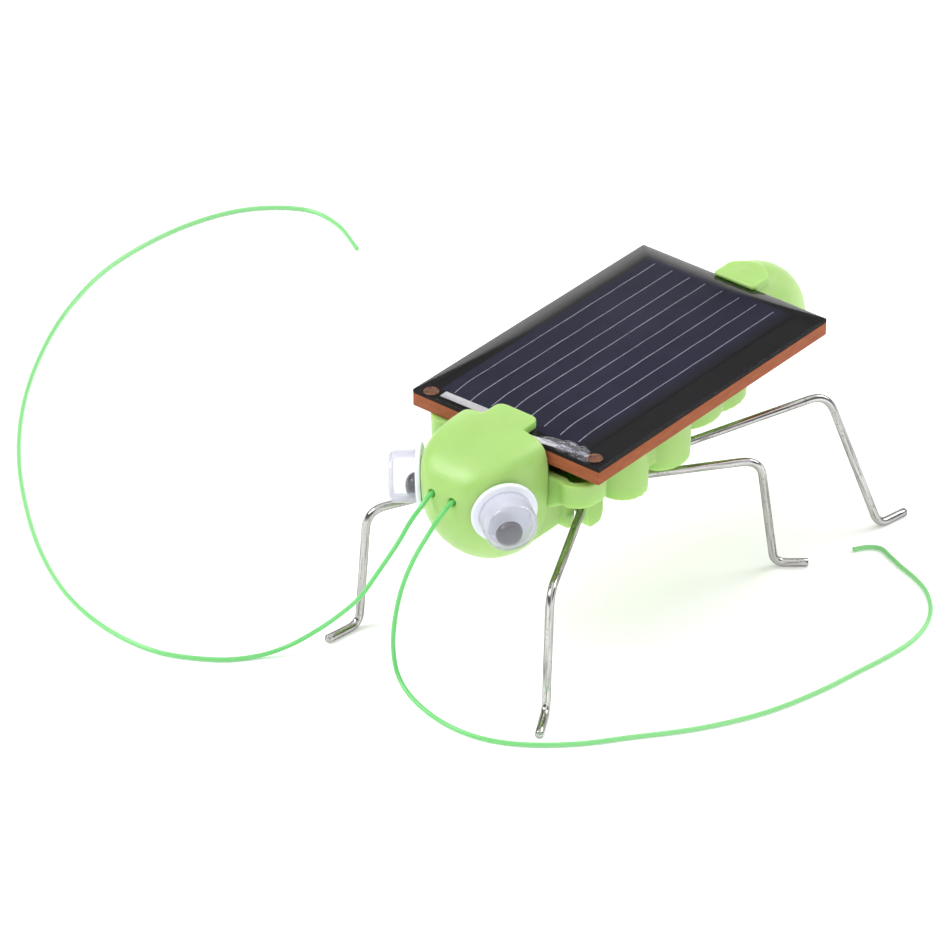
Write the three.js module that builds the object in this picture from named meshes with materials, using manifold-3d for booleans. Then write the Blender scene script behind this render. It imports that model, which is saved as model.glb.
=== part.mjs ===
// A solar powered insect toy. A green two-piece plastic body carries a small solar panel,
// three bent steel wires make the six legs, two thin wires make the antennae, and a
// vibration motor with an eccentric weight is hidden in the tray under the panel.
// Millimetres, +Z up. The head points to -Y and the insect's own left side is +X.
import * as THREE from "three";
import { mergeVertices } from "three/addons/utils/BufferGeometryUtils.js";
import Module from "manifold-3d";

const wasm = await Module();
wasm.setup();

// ---------- driving dimensions ----------
const GAP = 0.03; // between pieces that touch

// Solar panel: a phenolic board, the cell on it, and a clear resin coat over both.
const PANEL_WIDTH = 22;
const PANEL_LENGTH = 34.6;
const PANEL_Y = 1.2; // middle of the panel
const BOARD_BOTTOM = 20.8;
const BOARD_TOP = 22.2;
const RESIN_TOP = 22.65;
const CELL = { x0: -9.3, x1: 7.9, y0: -14.1, y1: 17.4, thick: 0.18 };
const RIBBON = { thick: 0.14, wide: 0.95 };
const PAD = { radius: 0.75, thick: 0.08 };
// Where the ribbons run across the board, and where they end at copper pads.
const CONTACTS = [
  { label: "left", x0: 2.4, x1: 8.5, y: -15.3, pad: [9.35, -14.6] },
  { label: "right", x0: -8.5, x1: -2.4, y: -14.65, pad: [-9.61, -15.1] },
];

// Tray under the panel. Each lobe is a pair of upright half-round bulges.
const WALL = 0.9;
const TRAY_BOTTOM = 13.7;
const TRAY_FLOOR = 15;
const TROUGH = { half: 3.5, front: -13, back: 16.4 }; // the deep middle of the tray
const RIM = BOARD_BOTTOM - GAP;
const LOBES = [
  { x: 7.0, y: -7.3, wide: 2.35, long: 2.5, bottom: 14.7 },
  { x: 7.0, y: -1.3, wide: 2.4, long: 3.0, bottom: 15.2 },
  { x: 6.4, y: 4.5, wide: 2.1, long: 3.3, bottom: 16.7 },
  { x: 5.7, y: 9.2, wide: 2.0, long: 3.3, bottom: 15.95 },
];
const LOBE_BULGE = 1.2; // how far the lobes stand out from the wall between them
const LOBE_DROP = 1.3; // how far they hang below it
// The tray's cross sections before the first lobes and behind the last.
const TRAY_START = { x: 4.4, y: -12, wide: 2.0, bottom: 14.7 };
const TRAY_END = { x: 3.5, y: 16.4, wide: 1.3, bottom: 16 };

// Two cups in front of the lobes. The left one's rim stays clear of the panel, and the right
// one reaches up to it.
const CUP = { x: 7.55, y: -14.1, wide: 2.05, long: 2.6, bottom: 17.35 };
const CUP_RIM = 19.74;

// Keel under the tray, which the leg wires cross.
const KEEL = { half: 3.5, front: -16.3, back: 6.2, bottom: 11.8 };
const THORAX = { low: 3.6, high: 5.2, front: -16.3, back: -12.2 }; // half-widths
const NECK = { half: 3.0, front: -18.4, bottom: 13.4, top: 19.6 };
const FORK = {
  inner: 2.8,
  outer: 4.3,
  posts: [
    { y0: -12.45, y1: -11.0, bottom: 11.3 },
    { y0: -9.1, y1: -6.7, bottom: 9.8 },
  ],
};

// Domed tail, with a flap on its roof that laps over the back edge of the panel as a clip.
const TAIL = {
  x: 0,
  y: 19.17,
  z: 15.8,
  wide: 4.9,
  long: 8.63,
  up: 7.45,
  down: 2.6,
  square: 2.16, // 2 is an oval, and more is squarer
};
const TAIL_CLIP = { x0: -2.1, x1: 2.6, overlap: 0.6, long: 3.4, top: 23.15 };
const TAIL_FRONT = 15.6; // start of the tail, behind the last pair of lobes

// Head shell.
const HEAD = {
  back: -16.4,
  length: 8.9,
  z: 18.6, // height of the widest section
  up: 5.0,
  down: 8.75,
  half: 5.45,
  crown: 4.6, // squareness of the upper half across: 2 is an oval
  chin: 2.1, // squareness of the lower half across
  brow: 2.6, // squareness along the head above the widest section
  jaw: 1.9, // squareness along the head at its lowest line
  wall: 1.0,
};
const HEAD_CLIP = { half: 2.35, top: 23.6, back: -13.9, front: -16.8 };
const ANTENNA_HOLE = { x: 1.2, z: 19.5, radius: 0.4 };

// Eyes: a flanged base disc, a clear dome and a loose domed pupil.
const EYE = { x: 5.15, y: -22.35, z: 18.5, axis: [0.812, -0.578, -0.06] };
const EYE_BASE = { radius: 3.12, thick: 0.5 };
const EYE_DOME = { radius: 2.5, high: 2.65, wall: 0.14 };
const PUPIL = { radius: 1.25, thick: 1.1, swing: 1.08 };
// One pupil is pressed against the top of its dome and the other lies near its base.
const PUPIL_HEIGHT = { left: 1.38, right: 0.15 };

// Leg wires: the corner points of the left side, from the middle outwards.
const LEG_WIRE = 0.4; // radius
const WIRE_Z = 12.7; // where the wires cross the keel
const FOOT_Z = 0.4;
const LEGS = [
  {
    name: "leg_wire_front",
    crossing: [4.4, -10.1, WIRE_Z],
    knee: [10.9, -22.9, 12.6],
    ankle: [11.25, -23.8, FOOT_Z],
    toeLeft: [13.3, -27.35, FOOT_Z],
    toeRight: [-11.75, -27.75, FOOT_Z],
  },
  {
    name: "leg_wire_middle",
    crossing: [4.4, -2.8, WIRE_Z],
    knee: [12.6, 6.4, 13.35],
    ankle: [12.5, 9.2, FOOT_Z],
    toeLeft: [14.95, 11.25, FOOT_Z],
    toeRight: [-14.95, 11.25, FOOT_Z],
  },
  {
    name: "leg_wire_rear",
    crossing: [4.0, 2.7, WIRE_Z],
    knee: [10.85, 19.2, 13.9],
    ankle: [16.25, 20.9, FOOT_Z],
    toeLeft: [16.85, 24.35, FOOT_Z],
    toeRight: [-16.85, 24.35, FOOT_Z],
  },
];
const BEND = { crossing: 1.0, knee: 2.0, ankle: 1.2 };

// Antennae: thin coloured wires that come out of the face and lie loosely on the ground.
const ANTENNA_RADIUS = 0.22;
const GROUND = 0.26; // height of the wires' middle where they lie on the ground
const ANTENNA_LEFT = [
  [1.2, -23.9, 19.5],
  [1.2, -25.4, 19.45],
  [1.15, -26.5, 18.9],
  [0.7, -27.6, 17.4],
  [-0.9, -28.2, 13.8],
  [-2.2, -28.4, 10.0],
  [-2.9, -28.5, 6.3],
  [-2.9, -28.7, 3.8],
  [-2.1, -29.2, 1.8],
  [-0.2, -30.0, 0.7],
  [3.2, -30.9, GROUND],
  [6.7, -31.3, GROUND],
  [9.9, -30.8, GROUND],
  [13.1, -29.2, GROUND],
  [16.7, -26.1, GROUND],
  [19.8, -22.2, GROUND],
  [23.8, -17.0, GROUND],
  [26.9, -11.2, GROUND],
  [28.7, -5.2, GROUND],
  [29.5, -0.7, GROUND],
  [30.2, 3.6, GROUND],
  [30.4, 6.8, GROUND],
  [29.9, 9.7, GROUND],
  [28.7, 12.2, GROUND],
  [26.5, 14.5, GROUND],
  [24.3, 15.7, GROUND],
  [22.1, 16.5, GROUND],
  [20.2, 17.3, GROUND],
  [18.8, 17.8, GROUND],
  [17.7, 17.2, GROUND],
  [16.9, 16.0, GROUND],
];
const ANTENNA_RIGHT = [
  [-1.2, -23.9, 19.5],
  [-1.2, -25.4, 19.45],
  [-1.3, -26.5, 18.7],
  [-1.8, -27.5, 17.3],
  [-2.5, -28.3, 15.3],
  [-4.1, -29.1, 12.0],
  [-6.0, -29.8, 8.5],
  [-8.5, -29.9, 5.5],
  [-10.7, -30.3, 3.2],
  [-12.7, -31.3, 1.4],
  [-14.3, -33.0, 0.5],
  [-15.8, -34.9, GROUND],
  [-17.6, -36.7, GROUND],
  [-22.5, -39.2, GROUND],
  [-28.3, -39.5, GROUND],
  [-35.2, -37.8, GROUND],
  [-42.5, -33.9, GROUND],
  [-50.4, -27.9, GROUND],
  [-56.8, -21.9, GROUND],
  [-62.6, -15.0, GROUND],
  [-67.3, -7.8, GROUND],
  [-71.3, 0.2, GROUND],
  [-74.0, 8.9, GROUND],
  [-74.5, 15.7, GROUND],
  [-73.7, 22.4, GROUND],
  [-71.7, 27.6, GROUND],
  [-68.7, 30.9, GROUND],
  [-65.6, 32.4, GROUND],
  [-61.7, 31.9, GROUND],
  [-56.9, 29.4, GROUND],
];

// Vibration motor, its axis along Y.
const MOTOR = { z: 17.95, front: -8, back: 0, radius: 2.0, shell: 0.22 };
const SHAFT = { radius: 0.35, front: -7.3, back: 4.3 };
const WEIGHT = { radius: 1.9, front: 0.8, back: 3.8 };

// Copper contacts and leads under the board.
const SOLDER = { x: 2.6, y: -9.6, radius: 0.8, high: 0.75 };
const LEAD_RADIUS = 0.28;

// ---------- solids, cuts and joins ----------
function solidOf(geometry) {
  const bare = geometry.clone();
  bare.deleteAttribute("normal");
  bare.deleteAttribute("uv");
  const merged = mergeVertices(bare, 1e-4);
  return new wasm.Manifold(
    new wasm.Mesh({
      numProp: 3,
      vertProperties: merged.attributes.position.array,
      triVerts: new Uint32Array(merged.index.array),
    }),
  );
}

function geometryOf(solid) {
  const mesh = solid.getMesh();
  const geometry = new THREE.BufferGeometry();
  geometry.setAttribute(
    "position",
    new THREE.BufferAttribute(mesh.vertProperties, 3),
  );
  geometry.setIndex(new THREE.BufferAttribute(mesh.triVerts, 1));
  geometry.computeVertexNormals();
  return geometry;
}

function join(solids) {
  return solids.reduce((sum, solid) => sum.add(solid));
}

function block(x0, x1, y0, y1, z0, z1) {
  const box = new THREE.BoxGeometry(x1 - x0, y1 - y0, z1 - z0);
  return box.translate((x0 + x1) / 2, (y0 + y1) / 2, (z0 + z1) / 2);
}

// An upright oval column, a little narrower at its lower end.
function column(x, y, wide, long, z0, z1, draft = 0.96) {
  const shape = new THREE.CylinderGeometry(1, draft, z1 - z0, 32);
  shape.rotateX(Math.PI / 2);
  shape.scale(wide, long, 1);
  return shape.translate(x, y, (z0 + z1) / 2);
}

// A tab with rounded free corners. Its free end is at y0 and its root at y1.
function tab(half, y0, y1, z0, z1) {
  const reach = Math.abs(y1 - y0);
  const round = 0.9;
  const outline = new THREE.Shape();
  outline.moveTo(-half, reach);
  outline.lineTo(-half, round);
  outline.quadraticCurveTo(-half, 0, -half + round, 0);
  outline.lineTo(half - round, 0);
  outline.quadraticCurveTo(half, 0, half, round);
  outline.lineTo(half, reach);
  const shape = new THREE.ExtrudeGeometry(outline, {
    depth: z1 - z0,
    bevelEnabled: false,
    curveSegments: 4,
  });
  if (y1 < y0) shape.rotateZ(Math.PI);
  return shape.translate(0, y0, z0);
}

// A solid of revolution about the Y axis from [radius, y] pairs.
function turned(profile, segments = 24) {
  const points = profile.map(([r, y]) => new THREE.Vector2(r, y));
  return new THREE.LatheGeometry(points, segments);
}

function vector([x, y, z]) {
  return new THREE.Vector3(x, y, z);
}

function tube(path, radius, steps, sides = 8) {
  const points = [];
  for (let i = 0; i < sides; i++) {
    const turn = ((i + 0.5) * 2 * Math.PI) / sides;
    points.push(new THREE.Vector2(radius * Math.cos(turn), radius * Math.sin(turn)));
  }
  return new THREE.ExtrudeGeometry(new THREE.Shape(points), {
    steps,
    extrudePath: path,
  });
}

function smoothPath(points) {
  return new THREE.CatmullRomCurve3(points.map(vector), false, "centripetal");
}

// Straight runs joined by rounded bends. Each corner is {at, bend}.
function bentPath(corners) {
  const path = new THREE.CurvePath();
  let from = corners[0].at;
  for (let i = 1; i < corners.length - 1; i++) {
    const { at, bend } = corners[i];
    const before = corners[i - 1].at.clone().sub(at).setLength(bend).add(at);
    const after = corners[i + 1].at.clone().sub(at).setLength(bend).add(at);
    path.add(new THREE.LineCurve3(from, before));
    path.add(new THREE.QuadraticBezierCurve3(before, at, after));
    from = after;
  }
  path.add(new THREE.LineCurve3(from, corners[corners.length - 1].at));
  return path;
}

// ---------- materials ----------
function material(colour, roughness, metalness = 0) {
  return new THREE.MeshStandardMaterial({ color: colour, roughness, metalness });
}

const GREEN = material(0xa6e06a, 0.45);
const PHENOLIC = material(0xa0603c, 0.6);
const CELL_BLUE = material(0x24263c, 0.3);
const RESIN = material(0x26262e, 0.12);
const TIN = material(0xc8c8cc, 0.3, 1);
const COPPER = material(0xb87348, 0.35, 1);
const STEEL = material(0xb4b4b8, 0.2, 1);
const BRASS = material(0xb99a55, 0.35, 1);
const MAGNET = material(0x3a3a3e, 0.5, 0.6);
const WHITE = material(0xf2f2f4, 0.35);
const CLEAR = material(0xeef2f6, 0.08);
const BLACK = material(0x14141a, 0.4);
const RED = material(0xc02020, 0.5);
const BLUE = material(0x2040b0, 0.5);
const ANTENNA_GREEN = material(0x58d868, 0.4);

const insect = new THREE.Group();

function place(name, geometry, look, parent = insect) {
  const mesh = new THREE.Mesh(geometry, look);
  mesh.name = name;
  parent.add(mesh);
  return mesh;
}

// ---------- the space that the panel takes ----------
function panelSpace() {
  const half = PANEL_WIDTH / 2 + GAP;
  const reach = PANEL_LENGTH / 2 + GAP;
  return solidOf(
    block(-half, half, PANEL_Y - reach, PANEL_Y + reach, RIM, RESIN_TOP + GAP),
  );
}

// ---------- body frame ----------
function lobes(inset, top) {
  return LOBES.flatMap(({ x, y, wide, long, bottom }) => {
    const low = inset ? Math.max(bottom + inset, TRAY_FLOOR) : bottom;
    return [-x, x].map((at) =>
      solidOf(column(at, y, wide - inset, long - inset, low, top)),
    );
  });
}

// The full width of the tray from one pair of lobes to the next.
function spans(inset, top) {
  const sections = [TRAY_START, ...LOBES, TRAY_END];
  const stations = sections.map(({ x, y, wide, bottom }) => {
    const half = x + wide - LOBE_BULGE - inset;
    const low = bottom + LOBE_DROP + inset;
    return solidOf(block(-half, half, y - 0.2, y + 0.2, low, top));
  });
  return stations.slice(1).map((end, i) => wasm.Manifold.hull([stations[i], end]));
}

// The two cups, each with a web to the thorax.
function cups(inset, top) {
  const { x, y, wide, long, bottom } = CUP;
  return [-1, 1].flatMap((side) => {
    const rim = side > 0 || inset ? top : RIM;
    const cup = solidOf(
      column(side * x, y, wide - inset, long - inset, bottom + inset, rim),
    );
    const narrow = solidOf(
      column(side * x, y, wide - 0.5 - inset, long - 0.25 - inset, bottom + 0.5 + inset, top),
    );
    const ends = [side * 3, side * (THORAX.low - inset)].sort((a, b) => a - b);
    const root = solidOf(
      block(...ends, THORAX.front + inset, LOBES[0].y, bottom - 2 + inset, top),
    );
    return [cup, wasm.Manifold.hull([narrow, root])];
  });
}

// The front end of the tray, behind the head: wide at the top and narrow at the keel.
function thorax(inset, bottom, top) {
  const { low, high, front, back } = THORAX;
  const outline = new THREE.Shape();
  outline.moveTo(-low + inset, bottom);
  outline.lineTo(low - inset, bottom);
  outline.lineTo(high - inset, top);
  outline.lineTo(-high + inset, top);
  const shape = new THREE.ExtrudeGeometry(outline, {
    depth: back - front - inset,
    bevelEnabled: false,
  });
  // The outline's height becomes Z, and its thickness runs forwards from the back.
  return solidOf(shape.rotateX(Math.PI / 2).translate(0, back, 0));
}

function trayOutside() {
  const { half, front, back } = TROUGH;
  return join([
    solidOf(block(-half, half, front, back, TRAY_BOTTOM, RIM)),
    thorax(0, KEEL.bottom, CUP_RIM),
    ...cups(0, CUP_RIM),
    ...spans(0, RIM),
    ...lobes(0, RIM),
  ]);
}

function trayInside() {
  const { half, front, back } = TROUGH;
  const top = RIM + 1;
  return join([
    solidOf(block(-half + WALL, half - WALL, front, back, TRAY_FLOOR, top)),
    thorax(WALL, TRAY_FLOOR, top),
    ...cups(WALL, top),
    ...spans(WALL, top),
    ...lobes(WALL, top),
  ]);
}

function forks() {
  const solids = [];
  for (const side of [-1, 1])
    for (const { y0, y1, bottom } of FORK.posts) {
      const taper = 0.3;
      const outline = new THREE.Shape();
      outline.moveTo(y0, TRAY_FLOOR - 0.2);
      outline.lineTo(y0, bottom + 0.9);
      outline.lineTo(y0 + taper, bottom + 0.25);
      outline.lineTo(y0 + taper * 1.8, bottom);
      outline.lineTo(y1 - taper * 1.8, bottom);
      outline.lineTo(y1 - taper, bottom + 0.25);
      outline.lineTo(y1, bottom + 0.9);
      outline.lineTo(y1, TRAY_FLOOR - 0.2);
      const post = new THREE.ExtrudeGeometry(outline, {
        depth: FORK.outer - FORK.inner,
        bevelEnabled: false,
      });
      // The outline's own axes become Y and Z, and its thickness runs along X.
      post.rotateX(Math.PI / 2).rotateZ(Math.PI / 2);
      post.translate(side > 0 ? FORK.inner : -FORK.outer, 0, 0);
      solids.push(solidOf(post));
    }
  return join(solids);
}

function keel() {
  const { half, front, back, bottom } = KEEL;
  return join([
    solidOf(block(-half, half, front, back, bottom, TRAY_BOTTOM + 0.4)),
    solidOf(block(-NECK.half, NECK.half, NECK.front, -15.4, NECK.bottom, NECK.top)),
    solidOf(block(-NECK.half, NECK.half, THORAX.front, -15.4, NECK.bottom, RIM)),
  ]);
}

function wireSlots() {
  const side = LEG_WIRE + 0.05;
  return join(
    LEGS.map(({ crossing: [, y] }) =>
      solidOf(block(-6, 6, y - side, y + side, 8, WIRE_Z + side)),
    ),
  );
}

function tailForm(shrink) {
  const { x, y, z, wide, long, up, down, square } = TAIL;
  const form = new THREE.SphereGeometry(1, 44, 32);
  const position = form.attributes.position;
  for (let i = 0; i < position.count; i++) {
    const corner = new THREE.Vector3().fromBufferAttribute(position, i);
    const sum =
      Math.abs(corner.x) ** square +
      Math.abs(corner.y) ** square +
      Math.abs(corner.z) ** square;
    corner.multiplyScalar(sum ** (-1 / square));
    const tall = (corner.z > 0 ? up : down) - shrink;
    position.setXYZ(
      i,
      corner.x * (wide - shrink),
      corner.y * (long - shrink),
      corner.z * tall,
    );
  }
  return solidOf(form.translate(x, y, z));
}

// A flat flap with a straight front edge and a round back.
function tailFlap(back) {
  const { x0, x1, overlap, long, top } = TAIL_CLIP;
  const front = back - overlap;
  const strip = solidOf(block(x0, x1, front, front + 2 * long, RIM, top));
  const wide = (x1 - x0) * 0.59;
  const oval = column((x0 + x1) / 2, back, wide, long, RIM, top, 1);
  return strip.intersect(solidOf(oval));
}

// The dome is cut square at the panel's back edge, and only the flap laps over the panel.
function tail() {
  const back = PANEL_Y + PANEL_LENGTH / 2 + GAP;
  const under = solidOf(block(-9, 9, TAIL_FRONT, 40, 0, RIM));
  const behind = solidOf(block(-9, 9, back, 40, 0, 40));
  return tailForm(0).intersect(join([under, behind])).add(tailFlap(back));
}

function tailHollow() {
  return tailForm(WALL).intersect(solidOf(block(-9, 9, 0, 40, TRAY_FLOOR, RIM + 1.2)));
}

function motorCradle() {
  const ribs = [-6.8, -1.2].map((y) =>
    solidOf(block(-2.7, 2.7, y - 0.5, y + 0.5, TRAY_FLOOR - 0.1, MOTOR.z - 0.6)),
  );
  const bed = turned([
    [0, -9],
    [MOTOR.radius + GAP, -9],
    [MOTOR.radius + GAP, 1],
    [0, 1],
  ]);
  return join(ribs).subtract(solidOf(bed.translate(0, 0, MOTOR.z)));
}

function bodyFrame() {
  return trayOutside()
    .subtract(trayInside())
    .add(keel())
    .add(forks())
    .add(tail())
    .subtract(tailHollow())
    .add(motorCradle())
    .subtract(panelSpace())
    .subtract(wireSlots());
}

// ---------- head shell ----------
function power(value, exponent) {
  return Math.sign(value) * Math.abs(value) ** exponent;
}

// A rounded block with a square crown and a chin that slopes back.
function headForm(shrink) {
  const form = new THREE.SphereGeometry(1, 48, 36).rotateX(Math.PI / 2);
  const position = form.attributes.position;
  for (let i = 0; i < position.count; i++) {
    const across = position.getX(i);
    const along = position.getY(i);
    const ring = Math.hypot(across, position.getZ(i));
    const cosine = ring > 1e-6 ? across / ring : 1;
    const sine = ring > 1e-6 ? position.getZ(i) / ring : 0;
    const upper = sine > 0;
    const section = 2 / (upper ? HEAD.crown : HEAD.chin);
    const profile = 2 / (upper ? HEAD.brow : HEAD.brow + (HEAD.jaw - HEAD.brow) * -sine);
    const reach = ring ** profile;
    const tall = (upper ? HEAD.up : HEAD.down) - shrink;
    position.setXYZ(
      i,
      reach * power(cosine, section) * (HEAD.half - shrink),
      HEAD.back + power(along, profile) * (HEAD.length - shrink),
      HEAD.z + reach * power(sine, section) * tall,
    );
  }
  return solidOf(form);
}

// Everything beyond the flat seat of an eye.
function eyeSeat(side) {
  const seat = new THREE.BoxGeometry(12, 12, 12).translate(0, 6, 0);
  seat.applyMatrix4(eyeMatrix(side, -EYE_BASE.thick - GAP));
  return solidOf(seat);
}

function antennaHoles() {
  return join(
    [-1, 1].map((side) =>
      solidOf(
        new THREE.CylinderGeometry(
          ANTENNA_HOLE.radius,
          ANTENNA_HOLE.radius,
          4,
          16,
        ).translate(side * ANTENNA_HOLE.x, -25, ANTENNA_HOLE.z),
      ),
    ),
  );
}

function headShell() {
  const front = solidOf(block(-20, 20, -60, HEAD.back, -20, 60));
  const hollow = solidOf(block(-20, 20, -60, HEAD.back + 1, -20, 60));
  const { half, top, back, front: root } = HEAD_CLIP;
  const clip = solidOf(tab(half, back, root, RESIN_TOP + GAP, top));
  return headForm(0)
    .intersect(front)
    .add(clip)
    .subtract(headForm(HEAD.wall).intersect(hollow))
    .subtract(eyeSeat(-1))
    .subtract(eyeSeat(1))
    .subtract(antennaHoles())
    .subtract(panelSpace());
}

// ---------- eyes ----------
// The frame of an eye: its local +Y points out of the head, its origin is on the front
// of the base disc, raised by the given height.
function eyeMatrix(side, raise = 0) {
  const axis = new THREE.Vector3(side * EYE.axis[0], EYE.axis[1], EYE.axis[2]);
  axis.normalize();
  const turn = new THREE.Quaternion().setFromUnitVectors(
    new THREE.Vector3(0, 1, 0),
    axis,
  );
  const at = new THREE.Vector3(side * EYE.x, EYE.y, EYE.z).addScaledVector(axis, raise);
  return new THREE.Matrix4().compose(at, turn, new THREE.Vector3(1, 1, 1));
}

function eyeBase() {
  const { radius, thick } = EYE_BASE;
  return turned([
    [0, -thick],
    [radius - 0.1, -thick],
    [radius, -thick + 0.12],
    [radius, -0.12],
    [radius - 0.1, 0],
    [0, 0],
  ]);
}

function eyeDome() {
  const { radius, high, wall } = EYE_DOME;
  return turned([
    [radius - wall, GAP],
    [radius, GAP],
    [radius, high - 0.75],
    [radius - 0.22, high - 0.28],
    [radius - 0.8, high],
    [0, high],
    [0, high - wall],
    [radius - 0.85, high - wall],
    [radius - wall - 0.2, high - 0.4],
    [radius - wall, high - 0.8],
    [radius - wall, GAP],
  ]);
}

function pupil() {
  const { radius, thick } = PUPIL;
  return turned([
    [0, 0],
    [radius - 0.05, 0],
    [radius, 0.12],
    [radius * 0.88, thick * 0.6],
    [radius * 0.5, thick * 0.92],
    [0, thick],
  ]);
}

function addEye(side, label) {
  const frame = new THREE.Group();
  eyeMatrix(side).decompose(frame.position, frame.quaternion, frame.scale);
  insect.add(frame);
  place("eye_base_" + label, eyeBase(), WHITE, frame);
  place("eye_dome_" + label, eyeDome(), CLEAR, frame);
  const disc = place("pupil_" + label, pupil(), BLACK, frame);
  // The loose pupil lies at the lowest point of the dome.
  const down = new THREE.Vector3(0, 0, -1).applyQuaternion(
    frame.quaternion.clone().invert(),
  );
  down.y = 0;
  down.setLength(PUPIL.swing);
  disc.position.set(down.x, PUPIL_HEIGHT[label], down.z);
}

// ---------- solar panel ----------
function addPanel() {
  const half = PANEL_WIDTH / 2;
  const y0 = PANEL_Y - PANEL_LENGTH / 2;
  const y1 = PANEL_Y + PANEL_LENGTH / 2;
  const base = BOARD_TOP + GAP;
  place("panel_board", block(-half, half, y0, y1, BOARD_BOTTOM, BOARD_TOP), PHENOLIC);

  const cell = block(CELL.x0, CELL.x1, CELL.y0, CELL.y1, base, base + CELL.thick);
  place("solar_cell", cell, CELL_BLUE);

  const pocket = (x0, x1, front, back, thick) =>
    block(x0 - GAP, x1 + GAP, front - GAP, back + GAP, BOARD_TOP - 1, base + thick + GAP);
  const pockets = [pocket(CELL.x0, CELL.x1, CELL.y0, CELL.y1, CELL.thick)];
  for (const { label, x0, x1, y, pad } of CONTACTS) {
    const front = y - RIBBON.wide / 2;
    const back = y + RIBBON.wide / 2;
    const ribbon = block(x0, x1, front, back, base, base + RIBBON.thick);
    place("cell_ribbon_" + label, ribbon, TIN);
    pockets.push(pocket(x0, x1, front, back, RIBBON.thick));

    const { radius, thick } = PAD;
    const disc = turned([
      [0, 0],
      [radius, 0],
      [radius, thick],
      [0, thick],
    ]).rotateX(Math.PI / 2);
    place("copper_pad_" + label, disc.translate(...pad, base), COPPER);
    const [x, middle] = pad;
    pockets.push(pocket(x - radius, x + radius, middle - radius, middle + radius, thick));
  }
  const coat = solidOf(block(-half, half, y0, y1, base, RESIN_TOP));
  place("panel_resin", geometryOf(coat.subtract(join(pockets.map(solidOf)))), RESIN);
}

// ---------- motor ----------
function addMotor() {
  const motor = new THREE.Group();
  motor.position.z = MOTOR.z;
  insect.add(motor);
  const { front, back, radius, shell } = MOTOR;
  const inner = radius - shell;
  const bore = SHAFT.radius + 0.05;

  const can = turned([
    [inner, front],
    [radius, front],
    [radius, back],
    [bore, back],
    [bore, back - 0.3],
    [inner, back - 0.3],
    [inner, front],
  ]);
  place("motor_can", can, STEEL, motor);

  const cap = turned([
    [0, front - 0.3],
    [inner - GAP, front - 0.3],
    [inner - GAP, front + 0.4],
    [0, front + 0.4],
  ]);
  place("motor_end_cap", cap, WHITE, motor);

  const magnet = turned([
    [0.55, -5.8],
    [1.0, -5.8],
    [1.0, -0.33],
    [0.55, -0.33],
    [0.55, -5.8],
  ]);
  place("motor_magnet", magnet, MAGNET, motor);

  const coil = turned([
    [SHAFT.radius + 0.02, -6.7],
    [1.5, -6.7],
    [1.5, -0.8],
    [1.2, -0.8],
    [1.2, -6.3],
    [SHAFT.radius + 0.02, -6.3],
    [SHAFT.radius + 0.02, -6.7],
  ]);
  place("motor_coil", coil, COPPER, motor);

  const shaft = turned(
    [
      [0, SHAFT.front],
      [SHAFT.radius, SHAFT.front],
      [SHAFT.radius, SHAFT.back],
      [0, SHAFT.back],
    ],
    16,
  );
  place("motor_shaft", shaft, STEEL, motor);

  // The weight is a half-round block round the shaft, heavy on its lower side.
  const disc = turned([
    [0, WEIGHT.front],
    [WEIGHT.radius, WEIGHT.front],
    [WEIGHT.radius, WEIGHT.back],
    [0, WEIGHT.back],
  ]);
  const hole = turned(
    [
      [0, WEIGHT.front - 1],
      [SHAFT.radius + 0.02, WEIGHT.front - 1],
      [SHAFT.radius + 0.02, WEIGHT.back + 1],
      [0, WEIGHT.back + 1],
    ],
    16,
  );
  const upper = block(-3, 3, 0, 5, 0.75, 3);
  const weight = solidOf(disc).subtract(solidOf(hole)).subtract(solidOf(upper));
  place("eccentric_weight", geometryOf(weight), BRASS, motor);
}

function addLeads() {
  const { x, y, radius, high } = SOLDER;
  const joint = () =>
    turned(
      [
        [0, -high],
        [radius * 0.5, -high * 0.85],
        [radius * 0.85, -high * 0.45],
        [radius, 0],
        [0, 0],
      ],
      16,
    ).rotateX(Math.PI / 2);
  const leads = [
    ["left", 1, "lead_red", RED],
    ["right", -1, "lead_blue", BLUE],
  ];
  for (const [label, side, name, look] of leads) {
    place("solder_joint_" + label, joint().translate(side * x, y, RIM), TIN);
    const route = smoothPath([
      [side * 0.9, MOTOR.front - 0.36, MOTOR.z - 0.3],
      [side * 1.0, -9.6, MOTOR.z - 0.4],
      [side * 1.8, -10.9, MOTOR.z + 0.1],
      [side * 2.5, -10.6, MOTOR.z + 1.1],
      [side * x, y, RIM - high - 0.08],
    ]);
    place(name, tube(route, LEAD_RADIUS, 14), look);
  }
}

// ---------- legs and antennae ----------
function mirrored([x, y, z]) {
  return [-x, y, z];
}

function addLegs() {
  for (const leg of LEGS) {
    const corner = (at, bend) => ({ at: vector(at), bend });
    const corners = [
      corner(leg.toeLeft, 0),
      corner(leg.ankle, BEND.ankle),
      corner(leg.knee, BEND.knee),
      corner(leg.crossing, BEND.crossing),
      corner(mirrored(leg.crossing), BEND.crossing),
      corner(mirrored(leg.knee), BEND.knee),
      corner(mirrored(leg.ankle), BEND.ankle),
      corner(leg.toeRight, 0),
    ];
    place(leg.name, tube(bentPath(corners), LEG_WIRE, 80), STEEL);
  }
}

function addAntennae() {
  const left = tube(smoothPath(ANTENNA_LEFT), ANTENNA_RADIUS, 78);
  const right = tube(smoothPath(ANTENNA_RIGHT), ANTENNA_RADIUS, 78);
  place("antenna_left", left, ANTENNA_GREEN);
  place("antenna_right", right, ANTENNA_GREEN);
}

// ---------- assembly ----------
place("body_frame", geometryOf(bodyFrame()), GREEN);
place("head_shell", geometryOf(headShell()), GREEN);
addPanel();
addEye(1, "left");
addEye(-1, "right");
addMotor();
addLeads();
addLegs();
addAntennae();

export default insect;
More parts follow.
